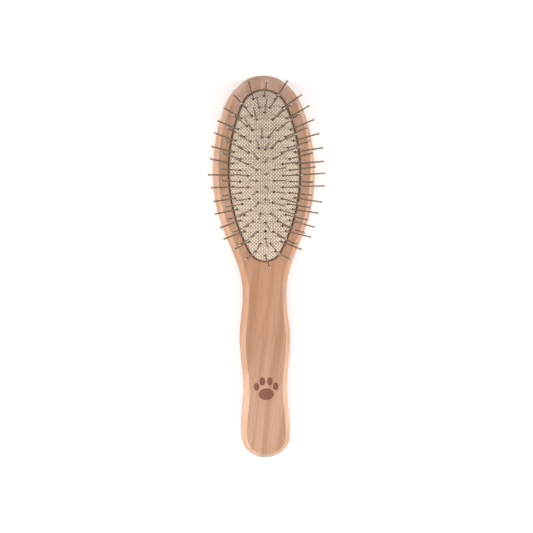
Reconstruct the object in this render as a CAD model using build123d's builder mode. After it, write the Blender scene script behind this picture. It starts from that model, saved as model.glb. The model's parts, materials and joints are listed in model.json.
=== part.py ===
"""Pet grooming brush: a wooden body with an air cushion that carries rings of metal pins.

The row frame is in millimetres. +Y runs from the grip to the tip of the head, +Z points out of
the pin side, and the origin is the middle of the flat back face that the brush rests on.
"""

import os
from collections import namedtuple
from math import cos, exp, hypot, pi, sin, sqrt
from random import Random

from build123d import *

# Wooden body
THICKNESS = 17.0
RIM = 8.3  # wood between the cushion's opening and the outside of the head
EDGE_BAND = 3.0  # the eased front edge, seen from the front
EDGE_FALL = 3.6  # the same edge, seen from the side
EDGE_BLEND = 3.0  # radius from the eased edge into the side
BACK_RADIUS = 5.5
TIP_SIDES = [(9.8, 107.5), (16.2, 102.1)]  # the head's tip runs through these
TIP_START_Y = 90.2  # and joins the head's side arc here
GRIP_START_Y = 44.0  # where the head's side arc ends and the grip's curve begins
TAPER = (21.5, 17.5)  # half width and y of the main sections from there down
SHOULDER = (13.85, -3.2)
NECK = (12.5, -18.5)
SWELL = (14.45, -39.2)
WAIST = (12.5, -69.5)
BUTT = (14.1, -97.3)  # from here an elliptical end
BUTT_END_Y = -110.0

# Opening for the cushion: an oval of four tangent arcs
OPEN_HALF_WIDTH = 20.9
OPEN_SIDE_RADIUS = 96.0
OPEN_WIDEST_Y = 55.0
OPEN_TOP_Y = 101.7
OPEN_BOTTOM_Y = 3.7
OPEN_EDGE = 0.35  # small chamfer round the opening
CHAMBER_DEPTH = 8.5
GROOVE_DEPTH = 1.5  # undercut that holds the cushion's flange
LIP = 2.7  # wood left over the groove

# Cushion: three bonded sheets, domed, with a shoulder and a flange in the groove
GAP = 0.9  # between the opening and the cushion's shoulder
SHOULDER_DROP = 1.0  # from the wood's front face down to the edge of the dome
DOME_RISE = 8.5
CLOTH = 0.6
RUBBER = 1.8
FOAM = 2.0
WALL_SHARE = 0.25  # the sheets are this much thinner on the shoulder's wall
FLANGE_PLAY = 0.1  # between the flange and the groove's edge and roof
VENT_Y = 21.4
VENT_RADIUS = 0.75
DOME_STATIONS = 13  # cross sections that the dome is drawn through
DOME_OVERRUN = 1.5  # how far it is drawn past the opening

# Pins
PIN_RADIUS = 0.4
PIN_LENGTH = 25.4  # from under the head to the end of the ball
BALL_RADIUS = 0.65
HEAD_RADIUS = 1.1
HEAD_HEIGHT = 0.5
HEAD_GAP = 0.3  # the flat head stands this far off the curved foam
GRIP_CLEARANCE = 0.03  # radial, in the rubber and the foam
CLOTH_HOLE_RADIUS = 0.7  # punched wider than the pin
SCATTER = 0.05  # largest random lean of a pin, as a slope
SPLAY = 0.4  # how much further than the cushion's normal the pins near the handle end lean aside
SPLAY_Y = 18.0
SPLAY_REACH = 11.0
TIP_PIN_Y = 97.0  # the pins past here lean less than the cushion's normal
TIP_PIN_LEAN = 0.6
TRACK_STEPS = 2000  # points a ring is measured along to space its pins
CENTRE_PINS = 5
CENTRE_PITCH = 7.0
CENTRE_Y = 53.3

# The outer ring follows the opening and the others are ellipses. The pins of a ring are evenly
# spaced, and sizes gives how many belong to each group, from the handle end round to the right.
RINGS_Y = 52.6
OUTER_INSET = 2.5
Ring = namedtuple("Ring", "name half_width half_length shift sizes")
RINGS = [
    Ring("outer", None, 45.2, 0.0, (3, 4, 5, 4, 3, 4, 5, 4)),
    Ring("second", 14.4, 39.2, 0.0, (2, 4, 4, 4, 2, 4, 4, 4)),
    Ring("third", 10.1, 35.6, 0.0, (3, 3, 3, 3, 3, 3, 3, 3)),
    Ring("inner", 5.0, 25.0, -1.4, (3, 3, 3, 2, 3, 3)),
]
EIGHT_PLACES = ("handle_end", "right_low", "right_mid", "right_high")
EIGHT_PLACES += ("tip_end", "left_high", "left_mid", "left_low")
SIX_PLACES = ("handle_end", "right_low", "right_high", "tip_end", "left_high", "left_low")

# Generic paw mark burned into the grip: centre, half width across the grip and along it
MARK_Y = -69.0
MARK_DEPTH = 0.2
PAW = [
    ((0.0, -3.1), 4.4, 3.4),
    ((-5.5, 1.3), 1.6, 2.3),
    ((-2.2, 4.3), 1.65, 2.4),
    ((2.2, 4.3), 1.65, 2.4),
    ((5.5, 1.3), 1.6, 2.3),
]

# Worked out from the values above
SIDE_CENTRE = OPEN_SIDE_RADIUS - OPEN_HALF_WIDTH  # x of the centre of the left side's arc
EDGE_Z = THICKNESS - SHOULDER_DROP
CROWN_Z = EDGE_Z + DOME_RISE
FLANGE_Z = THICKNESS - LIP - FLANGE_PLAY
PAD = CLOTH + RUBBER + FOAM
BEND = DOME_RISE / (OPEN_HALF_WIDTH - GAP) ** 2


def end_arc(grow, end_y):
    """One end of the opening grown outward: centre y, radius and where it meets the right side."""
    side_radius = OPEN_SIDE_RADIUS + grow
    reach = abs(end_y - OPEN_WIDEST_Y) + grow
    radius = (side_radius**2 - SIDE_CENTRE**2 - reach**2) / (2 * (side_radius - reach))
    away = (reach - radius) * (1 if end_y > OPEN_WIDEST_Y else -1)
    stretch = side_radius / (side_radius - radius)
    meeting = Vector(SIDE_CENTRE * (stretch - 1), OPEN_WIDEST_Y + away * stretch)
    return OPEN_WIDEST_Y + away, radius, meeting


def side_point(grow, y):
    """Point at height y on the right side arc of the opening grown outward."""
    side_radius = OPEN_SIDE_RADIUS + grow
    return Vector(sqrt(side_radius**2 - (y - OPEN_WIDEST_Y) ** 2) - SIDE_CENTRE, y)


def end_points(grow, end_y):
    """Three points on the right half of one end's arc, from the centre line outward."""
    centre_y, radius, meeting = end_arc(grow, end_y)
    centre = Vector(0, centre_y)
    tip = Vector(0, centre_y + radius * (1 if end_y > OPEN_WIDEST_Y else -1))
    half_way = centre + (tip + meeting - centre * 2).normalized() * radius
    return tip, half_way, meeting


def oval(grow):
    """The opening's outline grown outward, as a face."""
    low = end_points(grow, OPEN_BOTTOM_Y)
    high = end_points(grow, OPEN_TOP_Y)
    with BuildSketch() as outline:
        with BuildLine():
            ThreePointArc(*low)
            ThreePointArc(low[-1], side_point(grow, OPEN_WIDEST_Y), high[-1])
            ThreePointArc(*high)
            mirror(about=Plane.YZ)
        make_face()
    return outline.sketch


def width_squared(grow, y):
    """Square of the grown opening's half width at height y, running on below zero past its ends."""
    for end_y, way in ((OPEN_TOP_Y, 1), (OPEN_BOTTOM_Y, -1)):
        centre_y, radius, meeting = end_arc(grow, end_y)
        if way * (y - meeting.Y) > 0:
            return radius**2 - (y - centre_y) ** 2
    return side_point(grow, y).X ** 2


def crest_z(y):
    """Height of the cushion's outer face on the centre line."""
    return EDGE_Z + BEND * width_squared(-GAP, y)


def dome_z(x, y):
    """Height of the cushion's outer face, which is the same parabola all along the crest."""
    return crest_z(y) - BEND * x**2


def dome_fall(x, y):
    """How steeply that face falls along +X and +Y."""
    step = 0.01
    return 2 * BEND * x, (crest_z(y - step) - crest_z(y + step)) / (2 * step)


def make_wooden_body():
    """The board: outline, eased edges, chamber, groove for the flange and the burned mark."""
    tip = Vector(0, OPEN_TOP_Y + RIM)
    tip_start = side_point(RIM, TIP_START_Y)
    grip_start = side_point(RIM, GRIP_START_Y)
    side_centre = Vector(-SIDE_CENTRE, OPEN_WIDEST_Y)
    along_tip = (tip_start - side_centre).rotate(Axis.Z, -90)
    along_side = (grip_start - side_centre).rotate(Axis.Z, -90)
    opening = oval(0)
    groove = oval(GROOVE_DEPTH)
    with BuildPart() as body:
        with BuildSketch():
            with BuildLine():
                Spline([tip, *TIP_SIDES, tip_start], tangents=[(1, 0), along_tip.normalized()])
                ThreePointArc(tip_start, side_point(RIM, OPEN_WIDEST_Y), grip_start)
                Spline(
                    [grip_start, TAPER, SHOULDER, NECK, SWELL, WAIST, BUTT],
                    tangents=[along_side.normalized(), (0, -1)],
                )
                EllipticalCenterArc((0, BUTT[1]), BUTT[0], BUTT[1] - BUTT_END_Y, start_angle=270)
                mirror(about=Plane.YZ)
            make_face()
        extrude(amount=THICKNESS)
        front = body.faces().sort_by(Axis.Z)[-1]
        chamfer(front.edges(), length=EDGE_BAND, length2=EDGE_FALL, reference=front)
        eased_z = THICKNESS - EDGE_FALL
        fillet(body.edges().filter_by_position(Axis.Z, eased_z, eased_z), EDGE_BLEND)
        back = body.faces().sort_by(Axis.Z)[0]
        fillet(back.edges(), BACK_RADIUS)
        with BuildSketch(Plane.XY.offset(THICKNESS)):
            add(opening)
        extrude(amount=-CHAMBER_DEPTH, mode=Mode.SUBTRACT)
        front = body.faces().sort_by(Axis.Z)[-1]
        chamfer(front.inner_wires().edges(), OPEN_EDGE)
        with BuildSketch(Plane.XY.offset(THICKNESS - LIP)):
            add(groove)
        extrude(amount=FLANGE_Z - PAD - (THICKNESS - LIP), mode=Mode.SUBTRACT)
        with BuildSketch(Plane.XY.offset(THICKNESS)):
            for (x, y), half_x, half_y in PAW:
                with Locations((x, MARK_Y + y)):
                    Ellipse(half_x, half_y)
        extrude(amount=-MARK_DEPTH, mode=Mode.SUBTRACT)
    body.part.label = "wooden_body"
    return body.part


def make_dome():
    """Everything under the cushion's outer face, drawn well past its outline."""
    half = OPEN_HALF_WIDTH + GROOVE_DEPTH + DOME_OVERRUN
    length = OPEN_TOP_Y - OPEN_BOTTOM_Y + 2 * DOME_OVERRUN
    with BuildPart() as dome:
        for k in range(DOME_STATIONS):
            y = OPEN_BOTTOM_Y - DOME_OVERRUN + length * k / (DOME_STATIONS - 1)
            crest = crest_z(y)
            side = crest - BEND * half**2
            with BuildSketch(Plane.XZ.offset(-y)):
                with BuildLine():
                    Bezier((-half, side), (0, 2 * crest - side), (half, side))
                    Polyline((half, side), (half, -PAD), (-half, -PAD), (-half, side))
                make_face()
        loft()
    return dome.part


def under_sheet(dome, depth):
    """Everything under a sheet of the cushion whose top lies at this depth in it."""
    shoulder = oval(-GAP - WALL_SHARE * depth)
    flange = oval(GROOVE_DEPTH - FLANGE_PLAY)
    with BuildPart() as under:
        with Locations((0, 0, -depth)):
            add(dome)
        with BuildSketch():
            add(shoulder)
        extrude(amount=CROWN_Z + 1, mode=Mode.INTERSECT)
        with BuildSketch():
            add(flange)
        extrude(amount=FLANGE_Z - depth)
    return under.part


def make_sheet(label, dome, depth, thickness, hole_radius, pins):
    """One sheet of the cushion, pierced for the pins and the vent."""
    outer = under_sheet(dome, depth)
    inner = under_sheet(dome, depth + thickness)
    with BuildPart() as sheet:
        add(outer)
        add(inner, mode=Mode.SUBTRACT)
        with Locations(*pins):
            Cylinder(hole_radius, 4 * PAD, mode=Mode.SUBTRACT)
        with Locations((0, VENT_Y, CROWN_Z)):
            Cylinder(VENT_RADIUS, 6 * PAD, mode=Mode.SUBTRACT)
    sheet.part.label = label
    return sheet.part


def pin_place(x, y, chance):
    """Location of a pin: its origin on the foam's back face, +Z along the pin."""
    fall_x, fall_y = dome_fall(x, y)
    fall_x *= 1 + SPLAY * exp(-(((y - SPLAY_Y) / SPLAY_REACH) ** 2))
    fall_y *= TIP_PIN_LEAN if y > TIP_PIN_Y else 1
    lean_x = fall_x + chance.uniform(-SCATTER, SCATTER)
    lean_y = fall_y + chance.uniform(-SCATTER, SCATTER)
    along = Vector(lean_x, lean_y, 1).normalized()
    foot = Vector(x, y, dome_z(x, y))
    for _ in range(20):
        below = foot.Z - dome_z(foot.X, foot.Y) + PAD
        foot -= along * (0.7 * below)
    return Plane(origin=foot, z_dir=along).location


def ring_track(ring):
    """Close points along the right half of a ring, from the handle end."""
    middle = (OPEN_TOP_Y + OPEN_BOTTOM_Y) / 2
    reach = (OPEN_TOP_Y - OPEN_BOTTOM_Y) / 2 - OUTER_INSET
    track = []
    for k in range(TRACK_STEPS + 1):
        turn = pi * k / TRACK_STEPS
        if ring.half_width is None:
            x = sqrt(max(0, width_squared(-OUTER_INSET, middle - reach * cos(turn))))
        else:
            x = ring.half_width * sin(turn)
        track.append((x, RINGS_Y + ring.shift - ring.half_length * cos(turn)))
    return track


def ring_points(ring):
    """The ring's pins in order, evenly spaced, with its first group centred on the handle end."""
    track = ring_track(ring)
    walked = [0]
    for (x0, y0), (x1, y1) in zip(track, track[1:]):
        walked.append(walked[-1] + hypot(x1 - x0, y1 - y0))
    count = sum(ring.sizes)
    points = []
    for k in range(count):
        share = 2 * (k - (ring.sizes[0] - 1) / 2) / count
        side = 1 if 0 <= share <= 1 else -1
        share = abs(share) if share <= 1 else 2 - share
        step = min(range(TRACK_STEPS + 1), key=lambda n: abs(walked[n] - share * walked[-1]))
        points.append((side * track[step][0], track[step][1]))
    return points


def pin_groups():
    """{node name: the x, y of its pins on the cushion}, ring by ring and then the centre row."""
    groups = {}
    for ring in RINGS:
        points = ring_points(ring)
        places = EIGHT_PLACES if len(ring.sizes) == len(EIGHT_PLACES) else SIX_PLACES
        for place, size in zip(places, ring.sizes):
            groups[f"pins_{ring.name}_{place}"] = points[:size]
            points = points[size:]
    middle = (CENTRE_PINS - 1) / 2
    groups["pins_centre_row"] = [
        (0.0, CENTRE_Y + (k - middle) * CENTRE_PITCH) for k in range(CENTRE_PINS)
    ]
    return groups


def make_pin():
    """One pin: a flat head, a plain shaft and a ball formed on its end."""
    ball_z = PIN_LENGTH - BALL_RADIUS
    neck_z = ball_z - sqrt(BALL_RADIUS**2 - PIN_RADIUS**2)
    head_low = -HEAD_GAP - HEAD_HEIGHT
    with BuildPart() as pin:
        with BuildSketch(Plane.XZ):
            with BuildLine():
                Polyline(
                    (0, PIN_LENGTH),
                    (0, head_low),
                    (HEAD_RADIUS, head_low),
                    (HEAD_RADIUS, -HEAD_GAP),
                    (PIN_RADIUS, -HEAD_GAP),
                    (PIN_RADIUS, neck_z),
                )
                ThreePointArc((PIN_RADIUS, neck_z), (BALL_RADIUS, ball_z), (0, PIN_LENGTH))
            make_face()
        revolve(axis=Axis.Z)
    return pin.part


def make_pin_group(label, pin, places):
    """A group of identical pins as separate solids in one node."""
    with BuildPart() as group:
        with Locations(*places):
            add(pin)
    group.part.label = label
    return group.part


def main():
    """Builds every piece and writes one STEP for each."""
    chance = Random(11)
    groups = {
        name: [pin_place(x, y, chance) for x, y in points]
        for name, points in pin_groups().items()
    }
    pins = [place for places in groups.values() for place in places]
    grip_radius = PIN_RADIUS + GRIP_CLEARANCE
    dome = make_dome()
    pieces = [
        make_wooden_body(),
        make_sheet("cushion_cloth", dome, 0, CLOTH, CLOTH_HOLE_RADIUS, pins),
        make_sheet("cushion_rubber", dome, CLOTH, RUBBER, grip_radius, pins),
        make_sheet("cushion_foam", dome, CLOTH + RUBBER, FOAM, grip_radius, pins),
    ]
    pin = make_pin()
    pieces += [make_pin_group(name, pin, places) for name, places in groups.items()]
    os.makedirs("parts", exist_ok=True)
    for piece in pieces:
        export_step(piece, f"parts/{piece.label}.step")
        print(piece.label, len(piece.solids()), "solids")


if __name__ == "__main__":
    main()
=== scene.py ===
"""Looks of the pin brush: oiled wood, a cloth-faced air cushion and ball-tipped steel pins."""

import json

import bmesh
import bpy
import numpy as np
from mathutils import Matrix, Vector
from mathutils.geometry import delaunay_2d_cdt


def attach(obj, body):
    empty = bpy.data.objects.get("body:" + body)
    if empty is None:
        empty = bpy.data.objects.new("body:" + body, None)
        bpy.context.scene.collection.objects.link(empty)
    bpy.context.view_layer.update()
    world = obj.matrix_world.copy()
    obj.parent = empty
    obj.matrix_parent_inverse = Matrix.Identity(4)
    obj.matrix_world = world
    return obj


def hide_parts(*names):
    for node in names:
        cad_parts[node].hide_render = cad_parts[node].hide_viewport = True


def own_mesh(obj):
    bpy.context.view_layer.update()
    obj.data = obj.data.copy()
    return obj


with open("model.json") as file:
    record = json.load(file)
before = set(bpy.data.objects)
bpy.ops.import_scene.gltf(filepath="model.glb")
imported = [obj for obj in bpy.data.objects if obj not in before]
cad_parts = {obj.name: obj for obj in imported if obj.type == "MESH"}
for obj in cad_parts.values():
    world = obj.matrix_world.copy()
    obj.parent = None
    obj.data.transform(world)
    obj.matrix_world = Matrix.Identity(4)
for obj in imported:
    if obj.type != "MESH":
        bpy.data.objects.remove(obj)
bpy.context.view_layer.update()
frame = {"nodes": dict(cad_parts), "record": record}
MM = 0.001

# ------------------------------------------------------------ sizes shared with the CAD part, mm
OPEN_HALF_WIDTH = 20.9
SIDE_RADIUS = 96.0
WIDEST_Y = 55.0
TOP_Y = 101.7
BOTTOM_Y = 3.7
GAP = 0.9
EDGE_Z = 16.0
DOME_RISE = 8.5
FLANGE_Z = 14.2
FLANGE_GROW = 1.4
WALL_SHARE = 0.25
CLOTH, RUBBER, FOAM = 0.6, 1.8, 2.0
PAD = CLOTH + RUBBER + FOAM
VENT = (0.0, 21.4)
SIDE_CENTRE = SIDE_RADIUS - OPEN_HALF_WIDTH
BEND = DOME_RISE / (OPEN_HALF_WIDTH - GAP) ** 2
PRESS = 3.5
KEEP = 1 - PRESS / DOME_RISE


# ------------------------------------------------------------ the cushion's shape
def end_arc(grow, end_y):
    """Centre y, radius and the tangent point's y of one end of the grown opening."""
    side = SIDE_RADIUS + grow
    reach = abs(end_y - WIDEST_Y) + grow
    radius = (side**2 - SIDE_CENTRE**2 - reach**2) / (2 * (side - reach))
    away = (reach - radius) * (1 if end_y > WIDEST_Y else -1)
    return WIDEST_Y + away, radius, WIDEST_Y + away * side / (side - radius)


def width_squared(grow, y):
    """Square of the grown opening's half width at y, negative past its ends."""
    y = np.asarray(y, float)
    side = np.sqrt(np.maximum((SIDE_RADIUS + grow) ** 2 - (y - WIDEST_Y) ** 2, 0)) - SIDE_CENTRE
    result = side**2
    for end_y, way in ((TOP_Y, 1), (BOTTOM_Y, -1)):
        centre, radius, meeting = end_arc(grow, end_y)
        result = np.where(way * (y - meeting) > 0, radius**2 - (y - centre) ** 2, result)
    return result


def dome_z(x, y):
    """Height of the cushion's face."""
    return EDGE_Z + BEND * (width_squared(-GAP, y) - np.asarray(x, float) ** 2)


def oval(grow, counts):
    """Points round the grown opening, which match one another whatever the growth."""
    top, top_radius, _ = end_arc(grow, TOP_Y)
    low, low_radius, _ = end_arc(grow, BOTTOM_Y)
    up = np.arctan2(end_arc(0, TOP_Y)[0] - WIDEST_Y, SIDE_CENTRE)
    down = np.arctan2(end_arc(0, BOTTOM_Y)[0] - WIDEST_Y, SIDE_CENTRE)
    side = SIDE_RADIUS + grow
    arcs = (
        (-SIDE_CENTRE, WIDEST_Y, side, down, up, counts[0]),
        (0, top, top_radius, up, np.pi - up, counts[1]),
        (SIDE_CENTRE, WIDEST_Y, side, np.pi - up, np.pi - down, counts[0]),
        (0, low, low_radius, np.pi - down, 2 * np.pi + down, counts[2]),
    )
    points = []
    for x, y, radius, start, end, count in arcs:
        turn = start + (end - start) * np.arange(count) / count
        points.append(np.c_[x + radius * np.cos(turn), y + radius * np.sin(turn)])
    return np.vstack(points)


RUN_Y = np.linspace(BOTTOM_Y - 2, TOP_Y + 2, 2001)
RUN = np.gradient(dome_z(0, RUN_Y), RUN_Y)
RUN = np.r_[0, np.cumsum(np.hypot(1, (RUN[1:] + RUN[:-1]) / 2) * np.diff(RUN_Y))]


def along_cloth(points):
    """Plan points as distances walked over the cloth, so that its threads keep their pitch."""
    bend = 2 * BEND
    x = points[:, 0]
    across = (x * np.sqrt(1 + (bend * x) ** 2) + np.arcsinh(bend * x) / bend) / 2
    return np.c_[across, np.interp(points[:, 1], RUN_Y, RUN)]


# ------------------------------------------------------------ the pins
def islands(mesh):
    """The separate solids of a mesh, each as an array of points in mm."""
    made = bmesh.new()
    made.from_mesh(mesh)
    bmesh.ops.remove_doubles(made, verts=made.verts, dist=1e-6)
    left = set(made.verts)
    found = []
    while left:
        island, edge = [], [left.pop()]
        while edge:
            vert = edge.pop()
            island.append(tuple(vert.co))
            for link in vert.link_edges:
                other = link.other_vert(vert)
                if other in left:
                    left.remove(other)
                    edge.append(other)
        found.append(np.array(island) / MM)
    made.free()
    return found


def pressed(node):
    """Where the cushion's full press takes a point of this pin node: a 4x4 matrix, in mm."""
    behaviour = frame["record"]["behaviour"]
    body = next(b for b, members in behaviour["bodies"].items() if node in members)
    joint = next(j for j in behaviour["joints"] if j["child"] == body)
    if joint["type"] == "slide":
        return Matrix.Translation(Vector(joint["axis"]) * joint["range_m"][1] / MM)
    ratio = next(c["ratio"] for c in behaviour["couplings"] if c["joint"] == joint["name"])
    pivot = Matrix.Translation(Vector(joint["pos_m"]) / MM)
    turn = Matrix.Rotation(ratio * PRESS * MM, 4, Vector(joint["axis"]))
    return pivot @ turn @ pivot.inverted()


def crossing(point, way, level, base=None):
    """Plan point where a pin's axis crosses this level of the cushion, squashed towards base."""
    point = point.copy()
    for _ in range(40):
        z = point[2]
        if base is not None:
            z = base + (z - base) / KEEP
        point = point + way * 0.5 * (dome_z(point[0], point[1]) - level - z)
    return point[:2]


HEAD_SLICE = 0.3  # this much of a pin's back end lies in its flat head
BALL_SLICE = 1.0  # and this much of its front end in the ball
FOOT_UP = 5.0  # from the flat head to a point near the cushion


def find_pins():
    """For each pin, a point on its axis and its direction, at rest and with the cushion pressed."""
    pins = []
    for name in sorted(frame["nodes"]):
        if not name.startswith("pins_"):
            continue
        move = np.array(pressed(name))
        for points in islands(frame["nodes"][name].data):
            way = np.linalg.svd(points - points.mean(0))[2][0]
            way *= np.sign(way[2])
            along = points @ way
            low = points[along < along.min() + HEAD_SLICE].mean(0)
            high = points[along > along.max() - BALL_SLICE].mean(0)
            way = (high - low) / np.linalg.norm(high - low)
            point = low + way * FOOT_UP
            pins.append((point, way, move[:3, :3] @ point + move[:3, 3], move[:3, :3] @ way))
    return sorted(pins, key=lambda pin: tuple(pin[0]))


PINS = find_pins()
HOLE_POINTS = 20
HOLE_TURN = 2 * np.pi * np.arange(HOLE_POINTS) / HOLE_POINTS
EASE = (1.4, 2.0)  # rings of mesh points round each hole, as shares of its radius
DIMPLE = 0.32  # how far the pins' feet draw the cloth in
DIMPLE_REACH = 1.5


def dip(level, gap):
    """How far the pins draw this level in, at this distance from the middle of a hole."""
    return DIMPLE * (1 - level / PAD) * np.exp(-((gap / DIMPLE_REACH) ** 2))


def slot_rings(level, radius, base):
    """For each pin, its hole's middle at this level, its travel as it tilts, and its outline."""
    sunk = level + dip(level, radius)
    found = []
    for point, way, low_point, low_way in PINS:
        middle = crossing(point, way, sunk)
        travel = crossing(low_point, low_way, sunk, base) - middle
        lean = np.hypot(way[0], way[1])
        along = way[:2] / lean if lean > 1e-6 else np.array([1.0, 0.0])
        across = np.array([-along[1], along[0]])
        ring = np.outer(np.cos(HOLE_TURN), along * way[2]) + np.outer(np.sin(HOLE_TURN), across)
        found.append((middle, travel, radius * ring))
    return found


def widened(slot, share):
    """A hole's outline made wider, and as long as the pin's travel needs."""
    middle, travel, ring = slot
    return middle + ring * share + np.outer(ring @ travel > 0, travel)


def inside(points, ring):
    """Which points lie inside a convex ring."""
    step = np.roll(ring, -1, axis=0) - ring
    away = points[:, None] - ring[None]
    side = step[None, :, 0] * away[:, :, 1] - step[None, :, 1] * away[:, :, 0]
    return (side > 0).all(1) | (side < 0).all(1)


def off_segment(points, start, travel):
    """Distance of each point from the segment that starts there and runs as far as travel."""
    away = points - start
    share = np.clip(away @ travel / max(travel @ travel, 1e-9), 0, 1)
    return np.linalg.norm(away - np.outer(share, travel), axis=1)


# ------------------------------------------------------------ the cushion's sheets
SHOULDER_ROUND = 0.45
SHOULDER_SHARES = (0.35, 0.6, 0.8, 0.93, 1.0)  # of the way from the dome's rim to the wall
CLEAR = 0.03  # air between one sheet and the next
VENT_RADIUS = 0.75
FOLLOW_FROM, FOLLOW_FADE = 3.2, 1.7  # mesh this near a hole moves with it, fading outwards


def make_sheet(name, depth, thick, hole, spacing, counts):
    """One sheet of the cushion as a closed shell: dome, shoulder, wall, flange and its holes."""
    thick -= CLEAR
    inset = -GAP - WALL_SHARE * depth
    low_inset = -GAP - WALL_SHARE * (depth + thick)
    slots, low_slots = [slot_rings(depth + down, hole, EDGE_Z - depth) for down in (0, thick)]
    vent = VENT_RADIUS * np.c_[np.cos(HOLE_TURN), np.sin(HOLE_TURN)]
    still = (np.array(VENT), np.zeros(2), vent)
    slots.append(still)
    low_slots.append(still)
    outline = oval(low_inset, counts)
    size = len(outline)

    def planned(at_slots, rest):
        """Plan points of a face: outline, holes, rings that ease into them, then the rest."""
        rings = [widened(slot, share) for share in (1, *EASE) for slot in at_slots]
        return np.vstack([outline, *rings, rest])

    columns = np.arange(-OPEN_HALF_WIDTH, OPEN_HALF_WIDTH, spacing)
    rows = np.arange(BOTTOM_Y, TOP_Y, spacing * 0.866)
    grid = np.array([(x + (k % 2) * spacing / 2, y) for k, y in enumerate(rows) for x in columns])
    grid = grid[grid[:, 0] ** 2 < width_squared(low_inset - 0.6 * spacing, grid[:, 1])]
    grid = grid[abs(grid[:, 1] - WIDEST_Y) < (TOP_Y - BOTTOM_Y) / 2]
    gaps = np.array([off_segment(grid, middle, travel) for middle, travel, _ in slots])
    radii = np.array([np.linalg.norm(ring, axis=1).max() for _, _, ring in slots])
    free = (gaps > (radii * EASE[-1] + 0.4 * spacing)[:, None]).all(0)
    grid, gaps = grid[free], gaps[:, free]
    shift = [low[0] - top[0] + (low[1] - top[1]) / 2 for low, top in zip(low_slots, slots)]
    follow = np.clip((FOLLOW_FROM - gaps.min(0)) / FOLLOW_FADE, 0, 1)
    low_grid = grid + np.array(shift)[gaps.argmin(0)] * follow[:, None]
    plan, low_plan = planned(slots, grid), planned(low_slots, low_grid)
    edges = [(k, (k + 1) % size) for k in range(size)]
    for k in range(len(slots)):
        start = size + k * HOLE_POINTS
        edges += [(start + n, start + (n + 1) % HOLE_POINTS) for n in range(HOLE_POINTS)]
    kept = np.arange(len(plan))
    kept = kept[
        (kept < size + len(slots) * HOLE_POINTS)
        | (plan[:, 0] ** 2 < width_squared(low_inset - 0.15, plan[:, 1]))
    ]
    plan, low_plan = plan[kept], low_plan[kept]
    found = delaunay_2d_cdt([Vector(p) for p in plan], edges, [], 0, 1e-6)
    came_from = np.array([ids[0] if len(ids) else -1 for ids in found[3]])
    assert len(came_from) == len(plan) and (came_from >= 0).all(), name
    triangles = np.array([[came_from[k] for k in t] for t in found[2]])
    middle = plan[triangles].mean(1)
    keep = middle[:, 0] ** 2 < width_squared(low_inset, middle[:, 1])
    for ring in [widened(slot, 1) for slot in slots]:
        near = np.linalg.norm(middle - ring.mean(0), axis=1) < np.ptp(ring, axis=0).max()
        keep[near] &= ~inside(middle[near], ring)
    triangles = triangles[keep]
    ab = plan[triangles[:, 1]] - plan[triangles[:, 0]]
    ac = plan[triangles[:, 2]] - plan[triangles[:, 0]]
    turned = ab[:, 0] * ac[:, 1] - ab[:, 1] * ac[:, 0] < 0
    triangles[turned] = triangles[turned][:, ::-1]

    def face(points, at_slots, level):
        """Heights of a face of the sheet at this depth, with its dimples."""
        gap = np.min([off_segment(points, m, t) for m, t, _ in at_slots[:-1]], axis=0)
        return np.c_[points, dome_z(points[:, 0], points[:, 1]) - level - dip(level, gap)]

    count = len(plan)
    verts = [face(plan, slots, depth), face(low_plan, low_slots, depth + thick)]
    faces = [triangles, (triangles + count)[:, ::-1]]
    cloth = [along_cloth(plan), along_cloth(low_plan)]

    # shoulder, wall and flange, over the top and back under
    drop = EDGE_Z - depth
    profile = []
    for share in SHOULDER_SHARES:
        grow = low_inset + (inset - low_inset) * share
        ring = oval(grow, counts)
        fall = SHOULDER_ROUND * (1 - np.sqrt(1 - min(share, 0.999) ** 2))
        profile.append(np.c_[ring, dome_z(ring[:, 0], ring[:, 1]) - depth - fall])
    for grow, z in (
        (inset, drop - 1.1),
        (inset, FLANGE_Z - depth + 0.3),
        (inset + 0.09, FLANGE_Z - depth + 0.09),
        (inset + 0.3, FLANGE_Z - depth),
        (FLANGE_GROW, FLANGE_Z - depth),
        (FLANGE_GROW, FLANGE_Z - depth - thick),
        (low_inset, FLANGE_Z - depth - thick),
    ):
        ring = oval(grow, counts)
        profile.append(np.c_[ring, np.full(len(ring), z)])
    step = np.roll(outline, -1, axis=0) - np.roll(outline, 1, axis=0)
    outward = np.c_[step[:, 1], -step[:, 0]] / np.linalg.norm(step, axis=1)[:, None]
    walked = along_cloth(outline)
    before, last = np.arange(size), verts[0][:size]
    nxt = np.roll(np.arange(size), -1)
    base = 2 * count
    for ring in profile:
        here = base + np.arange(size)
        base += size
        walked = walked + outward * np.linalg.norm(ring - last, axis=1)[:, None]
        verts.append(ring)
        cloth.append(walked)
        faces.append(np.c_[before, here, here[nxt], before[nxt]])
        before, last = here, ring
    under = np.arange(size) + count
    faces.append(np.c_[before, under, under[nxt], before[nxt]])
    for k in range(len(slots)):
        ids = size + k * HOLE_POINTS + np.arange(HOLE_POINTS)
        after = np.roll(ids, -1)
        faces.append(np.c_[after, ids, ids + count, after + count])
    faces = [tuple(int(i) for i in row) for part in faces for row in part]
    mesh = bpy.data.meshes.new(name)
    mesh.from_pydata((np.vstack(verts) * MM).tolist(), [], faces)
    thread = mesh.attributes.new("thread", "FLOAT_VECTOR", "POINT")
    cloth = np.vstack(cloth)
    thread.data.foreach_set("vector", np.c_[cloth, np.zeros(len(cloth))].ravel())
    made = bmesh.new()
    made.from_mesh(mesh)
    bmesh.ops.recalc_face_normals(made, faces=made.faces)
    open_edges = sum(not edge.is_manifold for edge in made.edges)
    made.to_mesh(mesh)
    made.free()
    print(name, len(mesh.vertices), "points", open_edges, "open edges")
    mesh.shade_smooth()
    mesh.set_sharp_from_angle(angle=0.9)
    piece = bpy.data.objects.new(name, mesh)
    bpy.context.scene.collection.objects.link(piece)
    return piece


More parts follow.
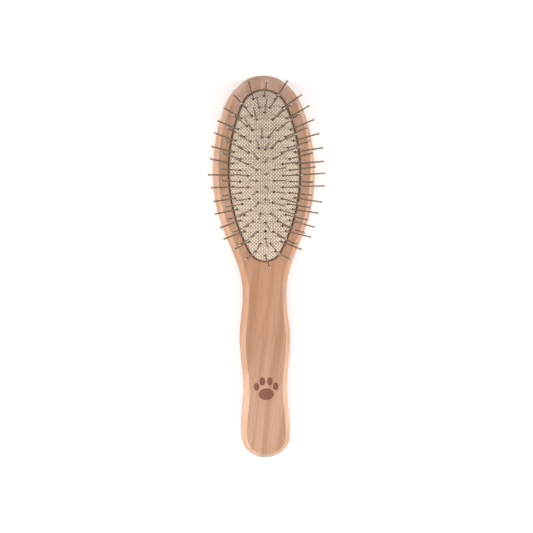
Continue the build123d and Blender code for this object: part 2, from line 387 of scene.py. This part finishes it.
# ------------------------------------------------------------ materials
class Shade:
    """A material under construction. Sockets and plain numbers mix freely in its methods."""

    def __init__(self, name):
        self.material = bpy.data.materials.new(name)
        self.material.use_nodes = True
        self.tree = self.material.node_tree
        self.bsdf = self.tree.nodes["Principled BSDF"]

    def set(self, node, key, value):
        if isinstance(value, bpy.types.NodeSocket):
            self.tree.links.new(value, node.inputs[key])
        elif value is not None:
            node.inputs[key].default_value = value

    def add(self, kind, inputs=(), out=0, **settings):
        node = self.tree.nodes.new("ShaderNode" + kind)
        for key, value in settings.items():
            setattr(node, key, value)
        for key, value in dict(inputs).items():
            self.set(node, key, value)
        return node.outputs[out]

    def math(self, operation, a, b=None, c=None):
        return self.add("Math", {0: a, 1: b, 2: c}, operation=operation)

    def coords(self, scale=1000.0):
        """The object's own coordinates, in millimetres unless another scale is given."""
        return self.scaled(self.add("TexCoord", out="Object"), scale)

    def stretched(self, vector, scale, shift=(0, 0, 0)):
        return self.add("Mapping", {"Vector": vector, "Scale": scale, "Location": shift})

    def noise(self, vector, scale, detail=2.0, rough=0.5, out="Fac"):
        inputs = {"Vector": vector, "Scale": scale, "Detail": detail, "Roughness": rough}
        return self.add("TexNoise", inputs, out=out)

    def ranged(self, value, low, high, to_low=0.0, to_high=1.0, smooth=False):
        inputs = {"Value": value, "From Min": low, "From Max": high}
        inputs |= {"To Min": to_low, "To Max": to_high}
        way = "SMOOTHSTEP" if smooth else "LINEAR"
        return self.add("MapRange", inputs, interpolation_type=way)

    def mix(self, share, a, b):
        """Colours a and b mixed."""
        node = self.tree.nodes.new("ShaderNodeMix")
        node.data_type = "RGBA"
        self.set(node, 0, share)
        for key, value in ((6, a), (7, b)):
            if isinstance(value, tuple):
                value = (*value, 1.0)[:4]
            self.set(node, key, value)
        return node.outputs[2]

    def scaled(self, colour, factor):
        """A colour or vector times a number."""
        return self.add("VectorMath", {0: colour, "Scale": factor}, operation="SCALE")

    def tinted(self, colour, tint):
        """A colour times another."""
        return self.add("VectorMath", {0: colour, 1: tint}, operation="MULTIPLY")

    def split(self, vector):
        """The three parts of a vector."""
        return self.add("SeparateXYZ", {0: vector}).node.outputs

    def wandering(self, vector, noise, reach):
        """A vector moved about by a colour noise, by at most half of reach each way."""
        centred = self.add("VectorMath", {0: noise, 1: (0.5, 0.5, 0.5)}, operation="SUBTRACT")
        return self.add("VectorMath", {0: centred, 1: reach, 2: vector}, operation="MULTIPLY_ADD")

    def bump(self, height, distance):
        """Relief of this many millimetres."""
        normal = self.add("Bump", {"Height": height, "Distance": distance * MM, "Strength": 1.0})
        self.set(self.bsdf, "Normal", normal)

    def finish(self, **sockets):
        for key, value in sockets.items():
            self.set(self.bsdf, key.replace("_", " "), value)
        return self.material


MARK_Y, MARK_HALF = -69.0, 9.0  # the box round the mark on the grip
MARK_Z = 16.75  # of its sunken floor, just under the front face


def wood_material():
    """Pale straight-grained hardwood with a satin oil finish, and the burned mark on the grip."""
    s = Shade("oiled_wood")
    place = s.coords()
    wobble = s.noise(s.stretched(place, (0.05, 0.012, 0.05)), 1.0, out="Color")
    grain = s.wandering(place, wobble, (7.0, 0.0, 7.0))
    x, y, z = s.split(grain)
    slanted = s.add("CombineXYZ", {0: s.math("MULTIPLY_ADD", y, -0.13, x), 1: y, 2: z})
    bands = s.noise(s.stretched(slanted, (0.15, 0.011, 0.10)), 1.0, 3.0, 0.55)
    rings = s.noise(s.stretched(slanted, (0.50, 0.009, 0.25), (3, 0, 1)), 1.0, 2.0, 0.6)
    lines = s.noise(s.stretched(grain, (2.6, 0.016, 1.6), (9, 0, 5)), 1.0, 2.0, 0.6)
    fibre = s.noise(s.stretched(place, (9.0, 0.14, 9.0)), 1.0, 2.0, 0.6)
    pores = s.noise(s.stretched(place, (5.5, 0.55, 5.5), (2, 7, 0)), 1.0, 1.0, 0.5)
    dark = s.ranged(bands, 0.36, 0.64, 0.0, 1.0, smooth=True)
    colour = s.mix(dark, (0.548, 0.322, 0.217), (0.440, 0.229, 0.129))
    ring = s.ranged(rings, 0.46, 0.70, 0.0, 0.52, smooth=True)
    colour = s.mix(ring, colour, (0.405, 0.215, 0.130))
    late = s.ranged(lines, 0.50, 0.74, 0.0, 0.32, smooth=True)
    colour = s.mix(late, colour, (0.375, 0.198, 0.120))
    pale = s.ranged(lines, 0.28, 0.46, 0.35, 0.0, smooth=True)
    colour = s.mix(pale, colour, (0.585, 0.350, 0.240))
    colour = s.scaled(colour, s.ranged(fibre, 0.25, 0.75, 0.89, 1.09))
    speck = s.ranged(pores, 0.68, 0.76, 0.0, 0.45, smooth=True)
    colour = s.mix(speck, colour, (0.27, 0.138, 0.082))
    # palest at the butt, amber at the neck, darker at the head and darker and cooler at its tip:
    # partly the wood's own tone, partly painted shade for the light falling off towards the head
    x, y, z = s.split(place)
    reach = s.math("ADD", y, s.math("MULTIPLY", bands, 10.0))
    amber_and_falloff_shade = s.ranged(reach, -85.0, -8.0, 0.0, 1.0, smooth=True)
    tint = s.mix(amber_and_falloff_shade, (0.95, 0.94, 0.94), (0.83, 0.725, 0.63))
    tint = s.mix(s.ranged(reach, 8.0, 45.0, 0.0, 1.0, smooth=True), tint, (0.91, 0.89, 0.87))
    tint = s.mix(s.ranged(y, 70.0, 108.0), tint, (0.76, 0.79, 0.88))
    colour = s.tinted(colour, tint)
    # painted highlight: the eased edge round the front face is made paler, most of all at the butt,
    # standing in for the light it catches from the sides
    facing = s.split(s.add("NewGeometry", out="Normal"))[2]
    edge = s.math("MULTIPLY", s.ranged(facing, 0.95, 0.78), s.ranged(facing, 0.1, 0.5))
    edge = s.math("MULTIPLY", edge, s.ranged(y, -85.0, -20.0, 1.0, 0.3))
    colour = s.tinted(colour, s.mix(edge, (1.0, 1.0, 1.0), (1.22, 1.34, 1.42)))
    # the mark is the only wood lying just under the front face of the grip
    low = s.math("COMPARE", z, MARK_Z, 0.2)
    across = s.math("COMPARE", x, 0.0, MARK_HALF)
    along = s.math("COMPARE", y, MARK_Y, MARK_HALF)
    burned = s.math("MULTIPLY", s.math("MULTIPLY", low, across), along)
    char = s.ranged(fibre, 0.3, 0.7, 0.82, 0.98)
    colour = s.mix(s.math("MULTIPLY", burned, char), colour, (0.175, 0.048, 0.024))
    polish = s.ranged(rings, 0.3, 0.7, 0.40, 0.50)
    height = s.math("ADD", s.math("MULTIPLY", fibre, 0.5), s.math("MULTIPLY", lines, 0.5))
    height = s.math("SUBTRACT", height, s.math("MULTIPLY", speck, 0.6))
    s.bump(height, 0.05)
    return s.finish(Base_Color=colour, Roughness=polish, Specular_IOR_Level=0.45)


def steel_material():
    """Drawn wire: fine lengthwise streaks and a faint blotch."""
    s = Shade("steel_pins")
    place = s.coords()
    streak = s.noise(s.stretched(place, (7.0, 7.0, 0.35)), 1.0, 2.0)
    blotch = s.noise(place, 0.45, 2.0)
    colour = s.mix(blotch, (0.300, 0.252, 0.215), (0.410, 0.352, 0.305))
    colour = s.scaled(colour, s.ranged(streak, 0.3, 0.7, 0.9, 1.08))
    rough = s.ranged(streak, 0.3, 0.7, 0.20, 0.30)
    s.bump(streak, 0.01)
    return s.finish(Base_Color=colour, Roughness=rough, Metallic=1.0)


WEAVE = 0.97  # thread pitch, mm
THREAD_HALF = 0.40  # of the pitch
THREAD_BOW = 0.5  # rise and fall of a thread, as a height in the weave
THREAD_CROWN = 0.55  # roundness of a thread, in the same measure
BETWEEN = -0.75  # height between the threads


def cloth_material():
    """Open plain weave of cream and tan threads, drawn from distances walked along the cloth."""
    s = Shade("woven_cloth")
    walked = s.add("Attribute", out="Vector", attribute_name="thread")
    loose = s.noise(s.stretched(walked, (0.5, 0.5, 1)), 1.0, out="Color")
    walked = s.wandering(walked, loose, (0.25, 0.25, 0.0))
    parts = s.split(s.stretched(walked, (1 / WEAVE, 1 / WEAVE, 1)))
    cell, off = [], []
    for k in range(2):
        floor = s.math("FLOOR", parts[k])
        cell.append(floor)
        off.append(s.math("SUBTRACT", s.math("SUBTRACT", parts[k], floor), 0.5))
    odd = s.math("FLOORED_MODULO", s.math("ADD", cell[0], cell[1]), 2.0)
    over = s.math("MULTIPLY_ADD", odd, -2.0, 1.0)  # +1 where the lengthwise thread is on top
    heights = []
    for k in range(2):
        bow = s.math("COSINE", s.math("MULTIPLY", off[1 - k], np.pi))
        bow = s.math("MULTIPLY", bow, THREAD_BOW)
        bow = s.math("MULTIPLY", bow, over if k == 0 else s.math("MULTIPLY", over, -1.0))
        across = s.math("DIVIDE", off[k], THREAD_HALF)
        round_off = s.math("SUBTRACT", 1.0, s.math("MULTIPLY", across, across))
        inside_thread = s.math("GREATER_THAN", round_off, 0.0)
        crown = s.math("SQRT", s.math("MAXIMUM", round_off, 0.0))
        height = s.math("ADD", bow, s.math("MULTIPLY", crown, THREAD_CROWN))
        height = s.math("SUBTRACT", height, BETWEEN)
        heights.append(s.math("MULTIPLY_ADD", height, inside_thread, BETWEEN))
    height = s.math("MAXIMUM", heights[0], heights[1])
    top = s.math("GREATER_THAN", heights[0], heights[1])
    tints = [s.add("TexWhiteNoise", {"W": c}, out="Value", noise_dimensions="1D") for c in cell]
    fibre = s.noise(s.stretched(walked, (8.0, 8.0, 1)), 1.0, 2.0)
    warp = s.mix(tints[0], (0.86, 0.725, 0.60), (0.96, 0.84, 0.71))
    weft = s.mix(tints[1], (0.50, 0.365, 0.27), (0.60, 0.455, 0.34))
    colour = s.mix(top, weft, warp)
    # painted shade: darker towards the head's end, standing in for the light falling off there
    colour = s.scaled(colour, s.ranged(s.split(walked)[1], 15.0, 95.0, 0.95, 0.80))
    blotch = s.noise(s.stretched(walked, (0.16, 0.16, 1)), 1.0, 2.0)
    blotch = s.mix(s.ranged(blotch, 0.38, 0.62), (1.02, 0.98, 0.98), (0.99, 0.985, 0.94))
    colour = s.tinted(colour, blotch)
    colour = s.scaled(colour, s.ranged(fibre, 0.3, 0.7, 0.90, 1.06))
    # painted shade: darker down the threads' sides and darkest in the gaps between them
    colour = s.mix(s.ranged(height, -0.35, 0.75), (0.10, 0.065, 0.04), colour)
    # painted shade: browner and darker where the cloth turns down into the opening, for the shadow
    # in the gap along the wood
    sunk = s.ranged(s.split(s.coords())[2], EDGE_Z - 0.6, EDGE_Z + 0.3, 0.6, 0.0)
    colour = s.mix(sunk, colour, (0.34, 0.19, 0.10))
    s.bump(height, 0.16)
    return s.finish(Base_Color=colour, Roughness=0.85, Specular_IOR_Level=0.25, Sheen_Weight=0.15)


def rubber_material():
    """Brown moulded rubber."""
    s = Shade("rubber_sheet")
    place = s.coords()
    mottle = s.noise(place, 0.8, 3.0)
    grain = s.noise(place, 6.0, 2.0)
    colour = s.mix(mottle, (0.075, 0.045, 0.028), (0.13, 0.082, 0.052))
    s.bump(grain, 0.03)
    return s.finish(Base_Color=colour, Roughness=s.ranged(mottle, 0.3, 0.7, 0.6, 0.75))


def foam_material():
    """Tan open-cell foam."""
    s = Shade("foam_pad")
    place = s.coords()
    cells = s.add("TexVoronoi", {"Vector": place, "Scale": 2.2}, out="Distance")
    mottle = s.noise(place, 0.6, 2.0)
    colour = s.mix(mottle, (0.46, 0.38, 0.30), (0.60, 0.52, 0.42))
    colour = s.scaled(colour, s.ranged(cells, 0.0, 0.6, 0.72, 1.0))
    s.bump(cells, 0.12)
    return s.finish(Base_Color=colour, Roughness=0.9)


def paint(piece, material):
    piece.data.materials.clear()
    piece.data.materials.append(material)


# ------------------------------------------------------------ the object
wood = wood_material()
steel = steel_material()
for name, node in frame["nodes"].items():
    for slot in node.material_slots:
        slot.link = "OBJECT"
        slot.material = steel if name.startswith("pins_") else wood

# mesh spacing, and how many points the outline has on each side, the top end and the low end
FINE = (0.75, (90, 44, 36))
COARSE = (1.5, (60, 30, 24))
# CAD node, piece, depth, thickness, radius of its holes for the pins, mesh, material
SHEETS = (
    ("cushion_cloth", "cushion_cloth_woven", 0.0, CLOTH, 0.68, FINE, cloth_material()),
    ("cushion_rubber", "cushion_rubber_sheet", CLOTH, RUBBER, 0.60, COARSE, rubber_material()),
    ("cushion_foam", "cushion_foam_pad", CLOTH + RUBBER, FOAM, 0.70, COARSE, foam_material()),
)
for node, name, depth, thick, hole, mesh, material in SHEETS:
    piece = make_sheet(name, depth, thick, hole, *mesh)
    paint(piece, material)
    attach(piece, "brush_body")
    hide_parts(node)
    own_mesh(piece)

# ------------------------------------------------------------ studio, in metres and watts
FLOOR_SIZE = 6.0
FLOOR_TONES = ((0.96, 0.96, 0.96), (0.98, 0.98, 0.98))
WORLD_STRENGTH = 0.34
LIT_POINT = Vector((0.0, 0.0, 0.01))
SOFTBOXES = {  # place, size, power
    "left_softbox": ((-0.92, 0.05, 0.2), (0.36, 1.3), 14.0),
    "right_softbox": ((0.92, 0.05, 0.2), (0.36, 1.3), 13.5),
    "foot_softbox": ((0.0, -1.0, 0.62), (1.0, 0.6), 4.4),
    "top_softbox": ((-0.1, 0.05, 1.2), (0.7, 0.7), 4.2),
}

bpy.ops.mesh.primitive_plane_add(size=FLOOR_SIZE, location=(0, 0, 0))
floor = bpy.context.object
floor.name = "floor"
s = Shade("floor")
mottle = s.noise(s.coords(1.0), 3.0)
paint(floor, s.finish(Base_Color=s.mix(mottle, *FLOOR_TONES), Roughness=0.9))

scene = bpy.context.scene
scene.view_settings.view_transform = "Standard"
world = bpy.data.worlds.new("studio")
world.use_nodes = True
background = world.node_tree.nodes["Background"].inputs
background["Color"].default_value = (1.0, 1.0, 1.0, 1.0)
background["Strength"].default_value = WORLD_STRENGTH
scene.world = world
for name, (place, size, power) in SOFTBOXES.items():
    light = bpy.data.lights.new(name, "AREA")
    light.shape = "RECTANGLE"
    light.size, light.size_y = size
    light.energy = power
    lamp = bpy.data.objects.new(name, light)
    lamp.location = place
    lamp.rotation_euler = (LIT_POINT - Vector(place)).to_track_quat("-Z", "Y").to_euler()
    scene.collection.objects.link(lamp)

# camera: over the brush, tipped a few degrees to its left and towards its head
LENS, SENSOR_WIDTH = 59.2, 36.0  # mm
CLIP_START = 0.01
DISTANCE = 0.50
AIM = Vector((0.00066, 0.0013, 0.017))
TILT = np.radians(4.6)
PITCH = np.radians(2.7)
ROLL = np.radians(0.4)
forward = Vector((np.sin(TILT), -np.sin(PITCH), -np.cos(TILT) * np.cos(PITCH))).normalized()
right = forward.cross(Vector((0, 1, 0))).normalized()
up = right.cross(forward)
right, up = right * np.cos(ROLL) - up * np.sin(ROLL), up * np.cos(ROLL) + right * np.sin(ROLL)
camera = bpy.data.objects.new("camera", bpy.data.cameras.new("camera"))
camera.data.lens = LENS
camera.data.sensor_width = SENSOR_WIDTH
camera.data.clip_start = CLIP_START
scene.collection.objects.link(camera)
place = Matrix((right, up, -forward)).transposed().to_4x4()
place.translation = AIM - forward * DISTANCE
camera.matrix_world = place
scene.camera = camera
